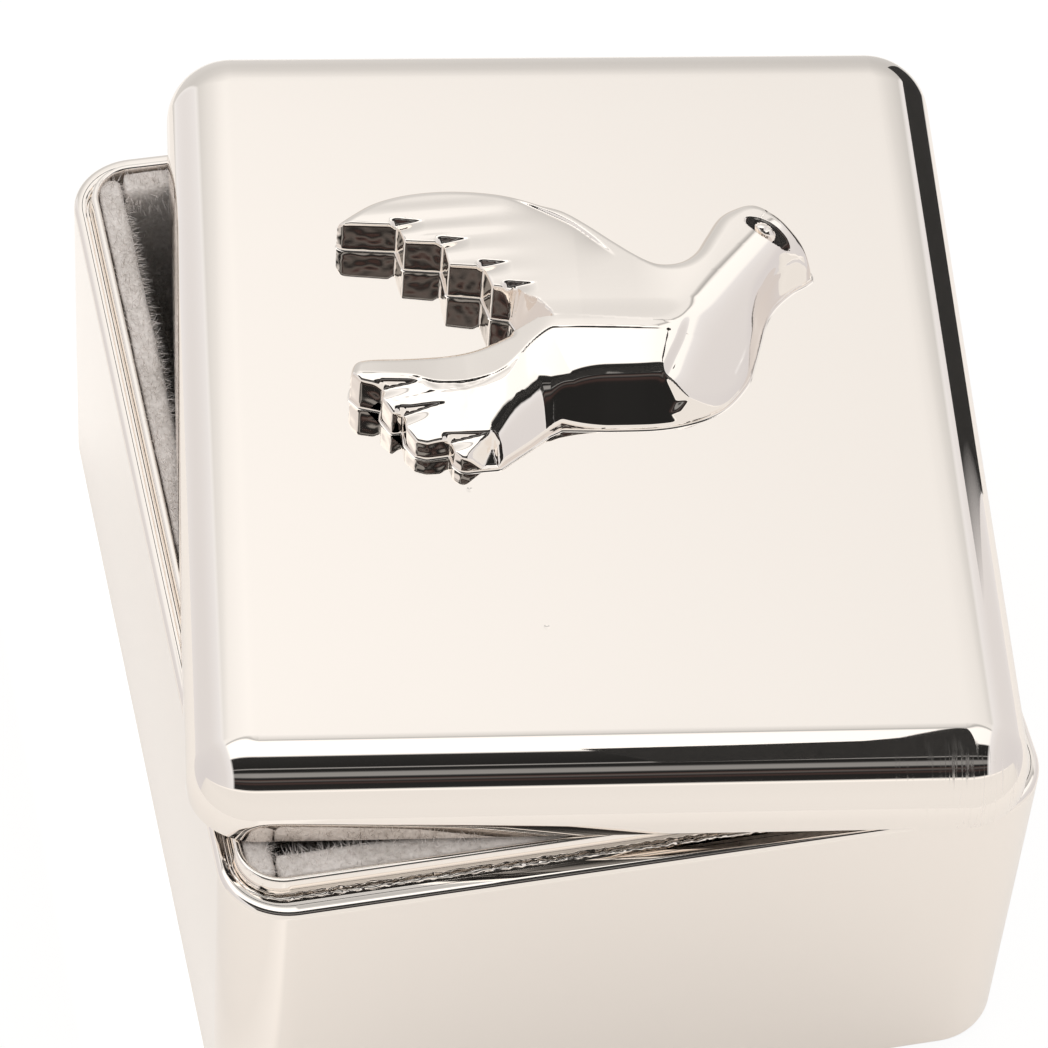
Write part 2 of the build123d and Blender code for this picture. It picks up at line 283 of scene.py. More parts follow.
TAIL_STEPS = [(-15.75, -1.7), (-14.2, -2.1), (-14.3, -2.95), (-13.6, -4.1), (-12.85, -4.0), (-12.7, -5.2),
              (-12.05, -6.2), (-11.3, -6.45), (-9.7, -6.2), (-9.45, -7.1), (-8.95, -7.6), (-8.5, -7.68),
              (-7.45, -7.55), (-6.3, -7.45)]
DOVE_BELLY = [(-5.0, -6.4), (-3.85, -5.5), (-2.7, -4.5), (-1.7, -3.95)]
DOVE_BREAST = [(1.6, -4.05), (4.7, -4.0), (6.9, -3.65), (8.75, -2.95), (10.25, -1.9), (11.7, 0.05),
               (12.35, 1.85), (12.9, 3.7), (13.3, 5.1), (13.9, 6.5), (14.7, 7.6), (15.8, 8.65), (16.85, 9.35)]
# the lines that its faces turn on: the long ridge, the neck's crest, the thigh's foot and the rest
DOVE_RIDGE = [(-17.0, -0.9), (-13.8, -1.1), (-12.0, -1.25), (-10.6, -1.75), (-8.8, -1.8), (-7.1, -1.45),
              (-5.8, -0.9), (-4.8, 0.0), (-3.6, 1.3), (-2.4, 2.25), (-1.6, 2.35), (2.0, 2.25), (7.0, 2.05)]
NECK_CREST = [(5.9, -3.5), (6.1, -0.5), (6.7, 2.4), (7.4, 4.2), (8.6, 5.5), (10.3, 7.3), (11.6, 9.3),
              (12.9, 11.4)]
THIGH_FOOT = [(-8.4, -9.35), (-6.0, -7.45), (-4.8, -6.45), (-3.65, -5.55), (-2.45, -4.6), (-1.4, -3.85),
              (0.8, -2.1)]
VALLEY = [(-6.95, -7.8), (-6.65, -5.5), (-6.3, -3.0)]
SIDE_RIDGE = [(17.2, 10.0), (15.95, 9.95), (14.6, 8.85), (13.6, 7.25), (12.8, 5.7), (12.3, 3.6), (11.6, 1.65),
              (10.9, 0.2)]
TAIL_CREASE = [(-13.4, -3.1), (-10.5, -2.7), (-8.8, -2.5), (-7.1, -1.9), (-5.4, -0.9)]
LEADING_LINE = [(-5.0, 15.4), (-3.3, 14.85), (-0.4, 12.9), (1.3, 11.2), (3.0, 8.95)]
BREAST_LINE = [(4.3, -2.8), (5.1, -1.2), (5.8, 0.3), (6.5, 1.8), (7.1, 3.6), (7.7, 5.4)]
WING_FEATHERS = [(-12.45, 13.05), (-9.3, 11.1), (-6.55, 8.65), (-4.9, 6.5)]
TAIL_FEATHERS = [(-14.2, -2.1), (-12.9, -4.0), (-9.7, -6.2)]
# heights of its top over the lid
WING_TOP = 4.0
NECK_TOP = 4.05
RIDGE_TOP = 3.0
RIDGE_RISE = 1.0
LOWEST_TOP = 0.22
# where the wing's feathers meet; each swells a little between two of these lines
FEATHER_LINES = [15.2, 13.05, 11.1, 8.65, 6.4]
FEATHER_SWELL = 0.07
CAST_WOBBLE = 0.045
# how finely its surface is divided
OUTLINE_STEP = 0.14
CLOSEST_POINTS = 0.02
CORNER_CUT = 0.16
EDGE_ROWS = [0.03, 0.07, 0.12, 0.18, 0.26, 0.36]
GRID_STEP = 0.1
GRID_ROW = 0.866 * GRID_STEP
EYE_GRID_STEP = 0.06
EYE_PLACE = (13.9, 11.4)
EYE_TURN = math.radians(-31)
EYE_HALF_LENGTH = 1.85
EYE_HALF_WIDTH = 0.72
FOOT_FILLET = 0.18
# two studs on its back
STUD_RADIUS = 0.75
STUD_REACH = 1.0
STUD_PLACES = [(-8.0, 13.2), (4.5, 1.6)]


def smooth_curve(points, step):
    """A Catmull-Rom curve through points, sampled about every step."""
    result = []
    padded = [points[0]] + list(points) + [points[-1]]
    for a, b, c, d in zip(padded, padded[1:], padded[2:], padded[3:]):
        a, b, c, d = (np.array(p, float) for p in (a, b, c, d))
        count = max(int(np.linalg.norm(c - b) / step), 1)
        for t in np.linspace(0, 1, count, endpoint=False):
            result.append(0.5 * (2 * b + (c - a) * t + (2 * a - 5 * b + 4 * c - d) * t**2
                                 + (3 * b - a - 3 * c + d) * t**3))
    result.append(np.array(points[-1], float))
    return np.array(result)


def softened(points, radius, step):
    """A polyline with each of its corners cut to a small arc-like run."""
    points = [np.array(p, float) for p in points]
    result = [points[0]]
    for before, corner, after in zip(points, points[1:], points[2:]):
        into = (before - corner) / np.linalg.norm(before - corner)
        out = (after - corner) / np.linalg.norm(after - corner)
        start, end = corner + into * radius, corner + out * radius
        for t in (0.0, 0.25, 0.5, 0.75, 1.0):
            result.append((1 - t)**2 * start + 2 * t * (1 - t) * corner + t**2 * end)
    result.append(points[-1])
    dense = []
    for a, b in zip(result, result[1:]):
        count = max(int(round(np.linalg.norm(b - a) / step)), 1)
        dense += [a + (b - a) * t for t in np.linspace(0, 1, count, endpoint=False)]
    return np.array(dense + [result[-1]])


def curve_distance(places, curve):
    """Each place's distance to a polyline, its side (left is positive) and the run length there."""
    best = np.full(len(places), 1e9)
    side = np.zeros(len(places))
    along = np.zeros(len(places))
    lengths = np.concatenate([[0], np.cumsum(np.linalg.norm(np.diff(curve, axis=0), axis=1))])
    for index, (a, b) in enumerate(zip(curve, curve[1:])):
        run = b - a
        size = run @ run
        if size == 0:
            continue
        t = np.clip(((places - a) @ run) / size, 0, 1)
        offset = places - (a + t[:, None] * run)
        distance = np.hypot(offset[:, 0], offset[:, 1])
        nearer = distance < best
        best = np.where(nearer, distance, best)
        turn = run[0] * offset[:, 1] - run[1] * offset[:, 0]
        side = np.where(nearer, np.sign(turn), side)
        along = np.where(nearer, lengths[index] + t * math.sqrt(size), along)
    return best, side, along


def smooth_min(a, b, k):
    blend = np.clip(k - np.abs(a - b), 0, None) / k
    return np.minimum(a, b) - blend**3 * k / 6


def smooth_max(a, b, k):
    return -smooth_min(-a, -b, k)


def ramp(values, low, high):
    """Zero below low, one above high, smooth between."""
    t = np.clip((values - low) / (high - low), 0, 1)
    return t * t * (3 - 2 * t)


def dove_outline():
    """The whole outline: smooth round the head, wing and breast, with tight corners at the feathers."""
    runs = [smooth_curve(DOVE_BACK, OUTLINE_STEP),
            softened([DOVE_BACK[-1]] + WING_STEPS + DOVE_NOTCH + [TAIL_BACK[0]], CORNER_CUT, OUTLINE_STEP),
            smooth_curve(TAIL_BACK, OUTLINE_STEP),
            softened([TAIL_BACK[-1]] + TAIL_STEPS + DOVE_BELLY + [DOVE_BREAST[0]], CORNER_CUT, OUTLINE_STEP),
            smooth_curve(DOVE_BREAST + [DOVE_BACK[0]], OUTLINE_STEP)]
    points = np.concatenate([run[:-1] for run in runs])
    keep = [0]
    for index in range(1, len(points)):
        if np.linalg.norm(points[index] - points[keep[-1]]) > CLOSEST_POINTS:
            keep.append(index)
    return points[keep]


def feather_steps(places, starts, heading, length, width, depth):
    """How far feathers stand below the one above them: a sloping step that narrows away along its run."""
    drop = np.zeros(len(places))
    forward = np.array([math.cos(heading), math.sin(heading)])
    left = np.array([-forward[1], forward[0]])
    for start in starts:
        away = places - np.array(start)
        run = away @ forward
        below = -(away @ left)
        fade = np.clip(1 - run / length, 0.001, 1)
        step = np.clip(1 + below / (1.05 * depth * fade), 0, 1)
        drop += depth * fade * ramp(run, -0.6, -0.1) * step * np.exp(-(np.clip(below, 0, None) / width)**2)
    return drop


def crease(places, points, depth, half_width=0.15):
    """A shallow V groove along a curve, or a raised line where depth is negative."""
    distance, _, _ = curve_distance(places, smooth_curve(points, 0.3))
    return -depth * np.clip(1 - distance / half_width, 0, 1)


def ledge(places, points, drop, width, reach, tail=0.3):
    """A step down on the right of a curve's run that rises back over its reach and dies out in its tail."""
    curve = smooth_curve(points, 0.3)
    distance, side, along = curve_distance(places, curve)
    length = np.linalg.norm(np.diff(curve, axis=0), axis=1).sum()
    fade = ramp(along, 0, 0.3 * length) * ramp(length - along, 0, tail * length)
    fallen = ramp(distance, 0, width) * np.exp(-np.clip(distance - width, 0, None) / reach)
    return np.where(side < 0, drop * fade * fallen, 0)


def rounded_edge(distance, radius):
    """How far a rounded edge has fallen at each distance in from it."""
    into = np.clip(1 - distance / radius, 0, 1)
    return radius * (1 - np.sqrt(1 - 0.98 * into**2))


def dove_sheet(places):
    """The broad top: a nearly level back and wing, and tail and belly sloping forward from a long ridge."""
    x, y = places[:, 0], places[:, 1]
    wing = WING_TOP + 0.035 * np.clip(x, None, 0) - 0.055 * np.clip(y - 3, 0, None) * (1 - ramp(x, 4, 10))
    across_feathers = y - 0.07 * (x + 12)
    for upper, lower in zip(FEATHER_LINES, FEATHER_LINES[1:]):
        share = np.clip((across_feathers - lower) / (upper - lower), 0, 1)
        wing = wing + FEATHER_SWELL * np.sin(math.pi * share)**2 * ramp(-x, 1, 10)
    distance, side, _ = curve_distance(places, smooth_curve(DOVE_RIDGE + [(12.0, 1.9)], 0.3))
    ridge_height = RIDGE_TOP + RIDGE_RISE * ramp(x, -8.5, -1.0) + 0.15 * ramp(-x, 11, 15)
    behind = ridge_height - 0.13 * ramp(-x, 0.5, 3.5) * distance
    back = smooth_min(wing, np.where(y > 3.6 - 0.1 * (x + 3), wing + 1, behind), 0.1)
    level = 0.85 * ramp(-x, 4.0, 6.0) * (1 - 0.7 * ramp(-x, 10.5, 12.5))
    slope = 0.27 - 0.06 * ramp(x, -5.0, 0.0)
    front = ridge_height - 0.03 * distance - slope * np.clip(distance - level, 0, None)
    return np.where(side < 0, front, back)


def dove_chest(places):
    """Neck and breast, falling away to the right of the neck's crest."""
    x, y = places[:, 0], places[:, 1]
    distance, side, _ = curve_distance(places, smooth_curve(NECK_CREST, 0.3))
    beside = np.where(side < 0, distance, 0)
    fold = 0.06 * ramp(y, 3.8, 4.8) * ramp(-y, -8.2, -7.0)
    neck = NECK_TOP + 0.1 * ramp(y, 3.0, 11.0) - 0.4 * fold * (1 - np.exp(-beside / 0.6))
    neck -= (0.06 - 0.03 * ramp(y, 6, 10)) * beside**2
    breast_heading = math.radians(52)
    down = (x - 5.5) * math.sin(breast_heading) - (y + 0.5) * math.cos(breast_heading)
    return smooth_min(neck, 3.45 - 0.6 * down - 0.012 * np.clip(down, 0, None)**2, 1.5)


def dove_front(places, top):
    """Belly, breast and beak flanks, the folded thigh, and the valley beside the last tail feather."""
    x, y = places[:, 0], places[:, 1]
    foot = smooth_curve([(-14.0, -4.0), (-3.5, -4.02)] + DOVE_BREAST + [DOVE_BACK[0]], 0.3)
    distance, side, _ = curve_distance(places, foot)
    filed = np.interp(y, (-3.9, -3.25, -2.65, -1.15), (0.85, 0.45, 0.95, 0.0))
    steep = 45 + 12 * ramp(x - filed, 5.3, 6.4) + 8 * ramp(y, -2.0, 1.0) * ramp(x, 8, 11)
    steep -= 10 * ramp(x, 13.2, 15.6)
    flank = 0.25 + np.tan(np.radians(steep)) * distance * side
    flank += 0.055 * np.clip(1.5 - x, 0, 4)**2
    distance, side, _ = curve_distance(places, smooth_curve(THIGH_FOOT, 0.3))
    thigh = 0.25 + (1.25 * distance - 0.05 * distance**2) * side
    axis_distance, axis_side, _ = curve_distance(places, smooth_curve(VALLEY, 0.3))
    floor_half = 0.42 * (1 - ramp(y, -7.4, -6.0))
    bank = np.where(axis_side > 0, 1.25, 1.9)
    floor = 0.1 + 0.62 * (y + 7.45) + 1.3 * np.clip(y + 6.3, 0, None)
    valley = floor + bank * np.clip(axis_distance - floor_half, 0, None)
    near_valley = (x > -9.0) & (x < -3.5) & (y < -1.5)
    top = np.where(near_valley, smooth_min(top, valley, 0.35), top)
    rise = np.where(x < 1.0, smooth_max(thigh, flank, 0.08), flank)
    blend = 0.65 + 0.5 * ramp(-x, 1.5, 3.0) - 0.5 * ramp(x, 5.2, 5.9) + 0.5 * ramp(x, 7.0, 9.0)
    return np.where(x > -6.9, smooth_min(top, rise, blend), top)


def dove_eye(places):
    """An almond cut with walls that slope in, and a rough round bead standing in it."""
    away = places - np.array(EYE_PLACE)
    run = away @ np.array([math.cos(EYE_TURN), math.sin(EYE_TURN)])
    across = away @ np.array([-math.sin(EYE_TURN), math.cos(EYE_TURN)])
    half_width = EYE_HALF_WIDTH * np.sqrt(np.clip(1 - (run / EYE_HALF_LENGTH)**2, 0, 1))
    cut = np.clip(half_width - across, 0, 1.3) * 0.62 * ramp(half_width - np.abs(across), 0.0, 0.12)
    bead_run, bead_across = run + 0.2, across - 0.05
    bead = 1 - (bead_run / 0.78)**2 - (bead_across / 0.47)**2
    dent = 0.12 * np.exp(-((bead_run - 0.1) / 0.12)**2) * np.exp(-(bead_across / 0.35)**2)
    level = -0.42 + (0.45 * np.clip(bead, 0, 1)**0.35 - dent) * (bead > 0)
    return np.where(bead > 0, np.maximum(level, -cut), -cut) * (half_width > 0)


def dove_height(places, outline_curve):
    """Height of the casting's top over the lid at each place."""
    x, y = places[:, 0], places[:, 1]
    edge, _, _ = curve_distance(places, outline_curve)
    shoulder = 0.7 - 0.35 * ramp(y, 1.0, 2.5) + 0.6 * ramp(y, 2.5, 5.0)
    top = smooth_min(dove_sheet(places), dove_chest(places), shoulder)
    top = top - feather_steps(places, WING_FEATHERS, math.radians(4), length=1.9, width=0.7, depth=0.40)
    top = top - feather_steps(places, TAIL_FEATHERS, math.radians(9), length=3.0, width=0.7, depth=0.42)
    rough = np.array([noise.noise(Vector((px * 1.7, py * 1.7, 5.0))) for px, py in places])
    worn = 0.06 + 0.06 * ramp(-x, 6.5, 7.5) * ramp(x, -13.5, -12.5) * (1 + 1.2 * rough)
    top = top - ledge(places, DOVE_RIDGE + [(10.0, 2.0)], drop=1.0, width=0.16, reach=0.9) * worn
    top = top - ledge(places, LEADING_LINE, drop=0.22, width=0.2, reach=1.1)
    top = top - ledge(places, BREAST_LINE, drop=0.26, width=0.7, reach=0.8, tail=0.85)
    top = top + crease(places, TAIL_CREASE, depth=0.03)
    top = dove_front(places, top)
    top = top + crease(places, SIDE_RIDGE, depth=-0.045)

    back_distance, _, _ = curve_distance(places, smooth_curve(DOVE_BACK, 0.3))
    back_round = 0.85 - 0.5 * ramp(x, -2.5, -0.5) * ramp(-x, -6, -4)
    back_round += 0.5 * ramp(x, 5.0, 9.0) - 0.7 * ramp(x, 11.5, 13.5)
    top = top - rounded_edge(back_distance / back_round, 1.0) * back_round
    tail_back_distance, _, _ = curve_distance(places, smooth_curve(TAIL_BACK, 0.3))
    top = top - rounded_edge(tail_back_distance, 0.7)
    notch_distance, _, _ = curve_distance(places, np.array([(-4.6, 5.95)] + DOVE_NOTCH[:3]))
    out_of_notch = smooth_min(top, 0.2 + (3.6 + 4 * ramp(y, 5.0, 5.8)) * notch_distance, 0.3)
    top = np.where((x < -1.5) & (y > 3.4), out_of_notch, top)
    top = top - rounded_edge(edge, 0.16)
    return np.maximum(top + dove_eye(places), LOWEST_TOP)


def build_dove():
    """The casting: a fine triangle grid lifted to its height, walls down to the lid, and the studs."""
    outline_curve = dove_outline()
    closed = np.vstack([outline_curve, outline_curve[:1]])
    ahead, behind = np.roll(outline_curve, -1, axis=0), np.roll(outline_curve, 1, axis=0)
    tangent = ahead - behind
    tangent /= np.linalg.norm(tangent, axis=1)[:, None]
    inward = np.stack([-tangent[:, 1], tangent[:, 0]], axis=1)
    places = [outline_curve]
    for row in EDGE_ROWS:
        inner = outline_curve + inward * row
        distance, side, _ = curve_distance(inner, closed)
        places.append(inner[(distance > row - 0.004) & (side > 0)])
    low, high = outline_curve.min(axis=0), outline_curve.max(axis=0)
    rows = np.arange(low[1], high[1], GRID_ROW)
    grid = []
    for index, row_y in enumerate(rows):
        xs = np.arange(low[0] + GRID_STEP / 2 * (index % 2), high[0], GRID_STEP)
        grid += [(gx, row_y) for gx in xs]
    grid = np.array(grid)
    distance, side, _ = curve_distance(grid, closed)
    by_eye = np.linalg.norm(grid - np.array(EYE_PLACE), axis=1) < EYE_HALF_LENGTH + 0.15
    places.append(grid[(side > 0) & (distance > EDGE_ROWS[-1] + 0.06) & ~by_eye])
    steps = np.arange(-EYE_HALF_LENGTH - 0.15, EYE_HALF_LENGTH + 0.15, EYE_GRID_STEP)
    fine = np.array([(EYE_PLACE[0] + a, EYE_PLACE[1] + b) for a in steps for b in steps
                     if math.hypot(a, b) < steps[-1]])
    distance, side, _ = curve_distance(fine, closed)
    places.append(fine[(side > 0) & (distance > EDGE_ROWS[-1] + 0.03)])
    places = np.concatenate(places)
    edges = [(i, (i + 1) % len(outline_curve)) for i in range(len(outline_curve))]
    result = delaunay_2d_cdt([Vector(p) for p in places], edges, [], 1, 1e-6)
    flat_points = np.array([tuple(v) for v in result[0]])
    heights = dove_height(flat_points, closed)
    vertices = [(px, py, ph) for (px, py), ph in zip(flat_points, heights)]
    faces = [tuple(face) for face in result[2]]

    # walls down to the lid, a little uneven as cast, with plating drawn into the corner at the foot
    top_at = {}
    for index, sources in enumerate(result[3]):
        for source in sources:
            if source < len(outline_curve):
                top_at[source] = index
    rings = []
    for level in (0.9, 0.75, 0.6, 0.45, 0.3, 0.15, 0.0):
        ring = []
        for i, (place, normal) in enumerate(zip(outline_curve, inward)):
            height = FOOT_FILLET + level * (heights[top_at[i]] - FOOT_FILLET)
            wobble = noise.noise(Vector((place[0] * 1.4, place[1] * 1.4, height * 1.9)))
            shift = CAST_WOBBLE * wobble * math.sin(math.pi * min(level + 0.12, 1.0))
            ring.append((place[0] - normal[0] * shift, place[1] - normal[1] * shift, height))
        rings.append(ring)
    for angle in (22.5, 45, 67.5, 90):
        turn = math.radians(angle)
        out, height = FOOT_FILLET * (1 - math.cos(turn)), FOOT_FILLET * (1 - math.sin(turn))
        rings.append([(p[0] - n[0] * out, p[1] - n[1] * out, height) for p, n in zip(outline_curve, inward)])
    above = [top_at[i] for i in range(len(outline_curve))]
    for ring in rings:
        below = list(range(len(vertices), len(vertices) + len(ring)))
        vertices += ring
        faces += wall_faces(above, below)
        above = below
    faces.append(tuple(reversed(above)))

    # the two studs cast on the back, which pass through the lid to their retainers
    turns = [2 * math.pi * i / 32 for i in range(32)]
    for stud_x, stud_y in STUD_PLACES:
        rings = []
        for height in (0.1, -LID_WALL - STUD_REACH):
            rings.append(list(range(len(vertices), len(vertices) + len(turns))))
            vertices += [(stud_x + STUD_RADIUS * math.cos(turn), stud_y + STUD_RADIUS * math.sin(turn),
                          height) for turn in turns]
        faces += wall_faces(*rings) + [tuple(rings[0]), tuple(reversed(rings[1]))]
    raised = [(vx, vy, vz + LID_HEIGHT) for vx, vy, vz in vertices]
    dove = make_object("dove_casting_sculpted", raised, faces, lid_matrix(), sharp_angle=50)
    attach(dove, "lid")
    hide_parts("dove_casting")
    return dove


def wall_faces(upper, lower):
    """The band of faces between two closed rings of vertices."""
    count = len(upper)
    return [(upper[i], lower[i], lower[(i + 1) % count], upper[(i + 1) % count]) for i in range(count)]


# ---- plush covers, each from its own construction solid ----

PLUSH_VOXEL = 0.35
UNEVENNESS = 0.07
SIDE_PLUSH_SPREAD = 1.6
PILE_WIDTH = 0.055
PILE_DROOP = 0.35
PILE_SCATTER = 0.33
ROOT_SINK = 0.05
PILE_PER_MM2 = 4.0
EDGE_BAND = 1.6
EDGE_PILE_GAIN = 1.5
EDGE_PILE_PER_MM2 = 22.0
WALL_PILE = 0.55
FLAT_PILE = 0.45
FELT_PILE = 0.2
TABLE_Z = 0


def build_fabric(node_name, body, pile_length, seen):
    """Soft cloth: rounded, a little uneven, with a nap of short fibres on the faces that seen() picks."""
    low, high = (corner[1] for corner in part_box(node_name))
    end_spread = SIDE_PLUSH_SPREAD if node_name in ("left_wall_plush", "right_wall_plush") else 0
    fabric = bpy.data.objects.new(node_name + "_fabric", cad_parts[node_name].data.copy())
    bpy.context.scene.collection.objects.link(fabric)
    remesh = fabric.modifiers.new("remesh", "REMESH")
    remesh.mode = "VOXEL"
    remesh.voxel_size = PLUSH_VOXEL * MM
    soften = fabric.modifiers.new("soften", "SMOOTH")
    soften.factor = 0.5
    soften.iterations = 4
    cloth = bpy.data.meshes.new_from_object(fabric.evaluated_get(bpy.context.evaluated_depsgraph_get()))
    bpy.data.objects.remove(fabric)
    spread = np.array([1, 1 + 2 * end_spread / ((high - low) / MM), 1])
    places = np.array([tuple(v.co) for v in cloth.vertices]) / MM * spread
    normals = np.array([tuple(v.normal) for v in cloth.vertices])
    faces = [tuple(polygon.vertices) for polygon in cloth.polygons]
    centers = np.array([tuple(polygon.center) for polygon in cloth.polygons]) / MM * spread
    headings = np.array([tuple(polygon.normal) for polygon in cloth.polygons])
    areas = np.array([polygon.area for polygon in cloth.polygons]) / MM**2
    swell = np.array([noise.noise(Vector(place * 0.45)) + 0.5 * noise.noise(Vector(place * 1.7))
                      for place in places])
    places = places + normals * UNEVENNESS * swell[:, None]

    random = np.random.default_rng(len(node_name) * 7 + 1)
    top = centers[:, 2].max()
    per_area = np.where(centers[:, 2] > top - EDGE_BAND, EDGE_PILE_PER_MM2, PILE_PER_MM2)
    expected = areas * per_area * seen(centers, headings)
    chosen = np.repeat(np.arange(len(areas)), random.poisson(expected))
    roots = centers[chosen] + random.uniform(-0.5, 0.5, (len(chosen), 3)) * PLUSH_VOXEL
    roots -= ROOT_SINK * headings[chosen]
    lean = headings[chosen] + np.array([0, 0, -PILE_DROOP]) + random.normal(0, PILE_SCATTER, (len(chosen), 3))
    lean /= np.linalg.norm(lean, axis=1)[:, None]
    across = np.cross(lean, random.normal(0, 1, (len(chosen), 3)))
    across *= PILE_WIDTH / 2 / np.linalg.norm(across, axis=1)[:, None]
    longer = np.where(centers[chosen, 2] > top - EDGE_BAND, EDGE_PILE_GAIN, 1.0)[:, None]
    tips = roots + lean * pile_length * longer * random.uniform(0.5, 1.2, (len(chosen), 1))
    first = len(places)
    blades = np.stack([roots - across, roots + across, tips], axis=1).reshape(-1, 3)
    faces += [(first + 3 * i, first + 3 * i + 1, first + 3 * i + 2) for i in range(len(chosen))]
    places = np.vstack([places, blades])
    places[:, 2] = np.maximum(places[:, 2], TABLE_Z)
    fabric = make_object(node_name + "_fabric", places, faces, sharp_angle=180)
    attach(fabric, body)
    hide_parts(node_name)
    return fabric


def faces_room(centers, headings):
    """Faces of the wall and floor covers that look up or towards the middle of the box."""
    from_middle = np.maximum(np.linalg.norm(centers[:, :2], axis=1), 0.01)
    inward = -(centers[:, :2] * headings[:, :2]).sum(axis=1) / from_middle
    return (inward > 0.25) | (headings[:, 2] > 0.3)


def faces_down(centers, headings):
    """Faces of the lid's cover that look down."""
    return headings[:, 2] < -0.3


def faces_out(centers, headings):
    """Faces round the edge of the felt pad."""
    return np.abs(headings[:, 2]) < 0.5


# ---- materials ----

PLATE_COLOR = (0.94, 0.888, 0.838, 1)
STEEL_COLOR = (0.5, 0.49, 0.48, 1)
PLUSH_TONES = (0.60, 0.55, 0.51), (0.86, 0.80, 0.76)
FELT_TONES = (0.02, 0.02, 0.022), (0.05, 0.048, 0.046)
CARD_TONES = (0.24, 0.2, 0.16), (0.4, 0.35, 0.29)
# where the polishing streaks come in, across the lid and towards its front edge
STREAKS_X = (17 * MM, 25 * MM)
STREAKS_Y = (-31 * MM, -32.5 * MM)


def new_material(name):
    material = bpy.data.materials.new(name)
    material.use_nodes = True
    nodes = material.node_tree.nodes
    nodes.clear()
    output = nodes.new("ShaderNodeOutputMaterial")
    shader = nodes.new("ShaderNodeBsdfPrincipled")
    material.node_tree.links.new(shader.outputs["BSDF"], output.inputs["Surface"])
    return material, nodes, material.node_tree.links, shader


def noise_node(nodes, links, scale, detail, coordinates):
    node = nodes.new("ShaderNodeTexNoise")
    node.inputs["Scale"].default_value = scale
    node.inputs["Detail"].default_value = detail
    links.new(coordinates, node.inputs["Vector"])
    return node


def map_range(nodes, links, value, low, high, to_low=0.0, to_high=1.0):
    """A socket's value carried from one range over to another, and held inside it."""
    node = nodes.new("ShaderNodeMapRange")
    node.inputs["From Min"].default_value = low
    node.inputs["From Max"].default_value = high
    node.inputs["To Min"].default_value = to_low
    node.inputs["To Max"].default_value = to_high
    links.new(value, node.inputs["Value"])
    return node.outputs["Result"]


def calculate(nodes, links, operation, *values):
    """The result of a math node on sockets and numbers."""
    node = nodes.new("ShaderNodeMath")
    node.operation = operation
    for socket, value in zip(node.inputs, values):
        if isinstance(value, (int, float)):
            socket.default_value = value
        else:
            links.new(value, socket)
    return node.outputs[0]


def mixed_color(nodes, links, factor, first, second):
    """A colour that goes from the first to the second with a factor; each is a socket or plain numbers."""
    node = nodes.new("ShaderNodeMix")
    node.data_type = "RGBA"
    links.new(factor, node.inputs["Factor"])
    for name, color in (("A", first), ("B", second)):
        if isinstance(color, tuple):
            node.inputs[name].default_value = (*color, 1)
        else:
            links.new(color, node.inputs[name])
    return node.outputs["Result"]


def object_place(nodes):
    return nodes.new("ShaderNodeTexCoord").outputs["Object"]


def split_axes(nodes, links, vector):
    axes = nodes.new("ShaderNodeSeparateXYZ")
    links.new(vector, axes.inputs[0])
    return axes.outputs


def material_output(nodes):
    return next(node for node in nodes if node.type == "OUTPUT_MATERIAL").inputs["Surface"]


def bumped(nodes, links, shader, height, strength, distance):
    bump = nodes.new("ShaderNodeBump")
    bump.inputs["Strength"].default_value = strength
    bump.inputs["Distance"].default_value = distance * MM
    links.new(height, bump.inputs["Height"])
    links.new(bump.outputs["Normal"], shader.inputs["Normal"])


def silver_plate(name, streaked=False):
    """Bright warm plate: a near mirror with faint haze and tiny dents, and polishing streaks at a corner."""
    material, nodes, links, shader = new_material(name)
    place = object_place(nodes)
    shader.inputs["Metallic"].default_value = 1.0
    shader.inputs["Base Color"].default_value = PLATE_COLOR
    haze = noise_node(nodes, links, 90.0, 3.0, place)
    roughness = map_range(nodes, links, haze.outputs["Fac"], 0.3, 0.7, 0.02, 0.05)
    dents = nodes.new("ShaderNodeTexVoronoi")
    dents.inputs["Scale"].default_value = 75.0
    links.new(place, dents.inputs["Vector"])
    height = map_range(nodes, links, dents.outputs["Distance"], 0.0, 0.018)
    if streaked:
        to_lid = nodes.new("ShaderNodeMapping")
        to_lid.vector_type = "TEXTURE"
        to_lid.inputs["Location"].default_value = (LID_SHIFT_X * MM, LID_SHIFT_Y * MM, 0)
        to_lid.inputs["Rotation"].default_value = (0, 0, LID_TURN)
        links.new(place, to_lid.inputs["Vector"])
        fine = nodes.new("ShaderNodeMapping")
        fine.inputs["Scale"].default_value = (9.0, 0.5, 0.5)
        links.new(to_lid.outputs["Vector"], fine.inputs["Vector"])
        lines = noise_node(nodes, links, 650.0, 4.0, fine.outputs["Vector"])
        axes = split_axes(nodes, links, to_lid.outputs["Vector"])
        near_corner = map_range(nodes, links, axes["X"], *STREAKS_X)
        near_front = map_range(nodes, links, axes["Y"], *STREAKS_Y)
        patch = calculate(nodes, links, "MULTIPLY", near_corner, near_front)
        scratch = map_range(nodes, links, lines.outputs["Fac"], 0.5, 0.66, 0.0, 0.36)
        scratch = calculate(nodes, links, "MULTIPLY", scratch, patch)
        roughness = calculate(nodes, links, "ADD", roughness, scratch)
    links.new(roughness, shader.inputs["Roughness"])
    bumped(nodes, links, shader, height, 0.5, 0.03)
    return material


def set_stops(node, stops):
    """Fill a colour ramp from (position, colour) pairs."""
    elements = node.color_ramp.elements
    for index, (position, color) in enumerate(stops):
        element = elements[index] if index < 2 else elements.new(position)
        element.position = position
        element.color = (*color, 1)


